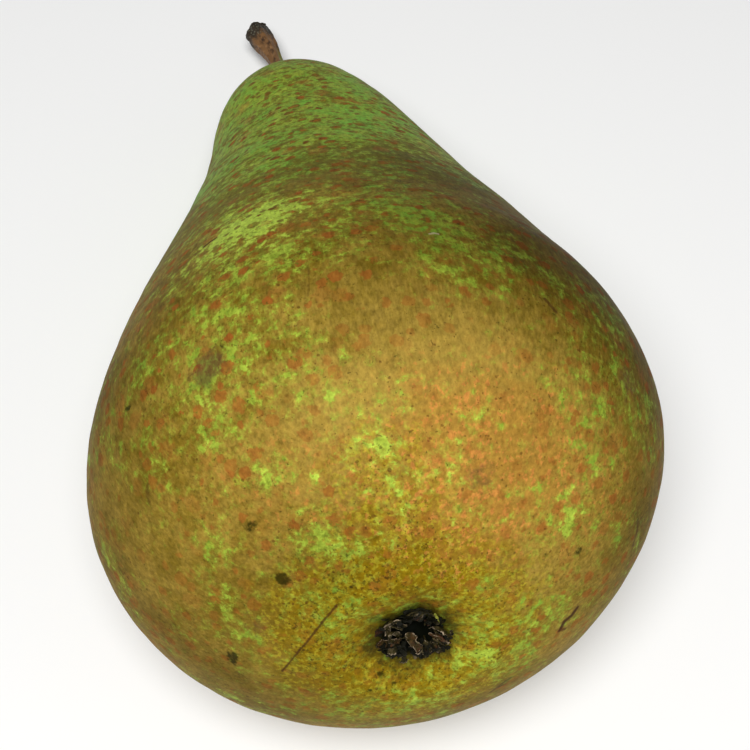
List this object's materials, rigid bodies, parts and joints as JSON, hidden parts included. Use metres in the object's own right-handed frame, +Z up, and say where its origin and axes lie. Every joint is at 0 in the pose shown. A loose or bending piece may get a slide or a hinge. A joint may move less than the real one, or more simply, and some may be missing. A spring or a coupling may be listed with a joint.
{
  "type": "pear",
  "caption": "Whole long-necked dessert pear with russet over green skin, lying on its side, with its stem and its dried calyx.",
  "frame": {"origin": "on the surface it lies on, at the flat spot straight below the fruit's centre of mass", "axes": "+Z up, +Y along the surface from the calyx end towards the stem, +X to the right of that seen from above"},
  "size_m": [0.0653, 0.1261, 0.062],
  "materials": {
    "skin": "semi-matte fruit skin, russet over green",
    "stem_wood": "rough, ribbed, woody",
    "dried_calyx": "rough, withered"
  },
  "bodies": {
    "root": {"fruit": "skin", "stem": "stem_wood", "calyx": "dried_calyx"}
  },
  "joints": []
}
